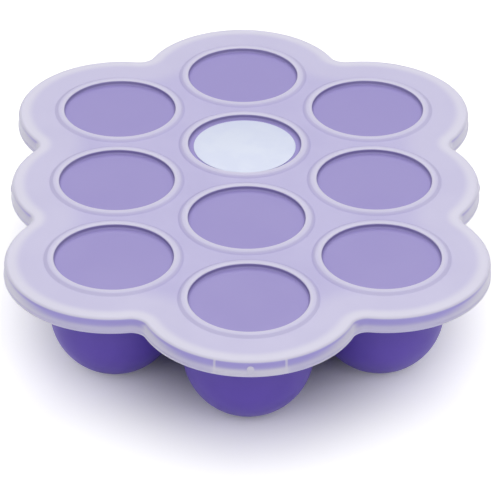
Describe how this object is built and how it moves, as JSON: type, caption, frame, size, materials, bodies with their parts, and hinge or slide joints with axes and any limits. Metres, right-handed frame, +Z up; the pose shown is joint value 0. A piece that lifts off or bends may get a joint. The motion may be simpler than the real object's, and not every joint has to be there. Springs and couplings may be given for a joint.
{
  "type": "baby food freezer tray",
  "caption": "Silicone freezer tray of round cups in a lobed deck, with a clip-on frosted lid that has a shallow round recess over each cup.",
  "frame": {"origin": "centre of the bounding box at the plane of the cups' flat bases", "axes": "+Z up out of the cups' mouths, +Y along the columns of cups towards the back, +X across the columns to the right"},
  "size_m": [0.196, 0.2658, 0.0499],
  "materials": {
    "silicone": "satin silicone",
    "lid_plastic": "frosted translucent polypropylene",
    "label_film": "satin white film"
  },
  "bodies": {
    "tray": {"cup_left_front": "silicone", "cup_left_middle": "silicone", "cup_left_back": "silicone", "cup_centre_front": "silicone", "cup_centre_near": "silicone", "cup_centre_far": "silicone", "cup_centre_back": "silicone", "cup_right_front": "silicone", "cup_right_middle": "silicone", "cup_right_back": "silicone"},
    "lid": {"lid": "lid_plastic", "label": "label_film"}
  },
  "joints": [
    {"name": "lid_lift", "type": "slide", "parent": "tray", "child": "lid", "axis": [0, 0, 1], "range_m": [0, 0.08]}
  ]
}
